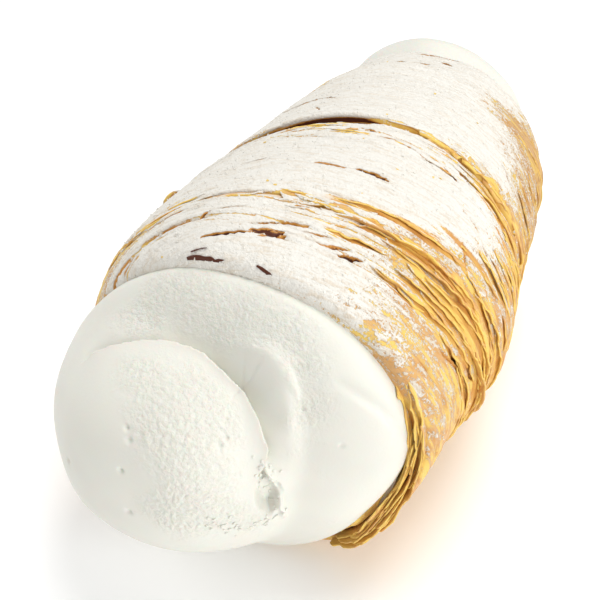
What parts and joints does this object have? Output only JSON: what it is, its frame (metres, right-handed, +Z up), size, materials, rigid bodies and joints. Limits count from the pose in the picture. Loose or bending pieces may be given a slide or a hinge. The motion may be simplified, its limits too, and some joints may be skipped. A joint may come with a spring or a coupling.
{
  "type": "cream horn pastry",
  "caption": "Wound puff pastry roll dusted with icing sugar and filled with white foam that bulges at both ends.",
  "frame": {"origin": "middle of the small flat spot that the roll lies on", "axes": "+Y along the roll, away from the end with the larger bulge of foam; +Z up"},
  "size_m": [0.0604, 0.1262, 0.0577],
  "materials": {
    "puff_pastry": "baked golden flaky puff pastry with caramelised layer edges, under a thick dusting of icing sugar",
    "egg_white_foam": "soft white whipped egg-white foam, smooth with small pores and a grainy sugared skin"
  },
  "bodies": {
    "root": {"pastry_shell": "puff_pastry", "foam_filling": "egg_white_foam"}
  },
  "joints": []
}
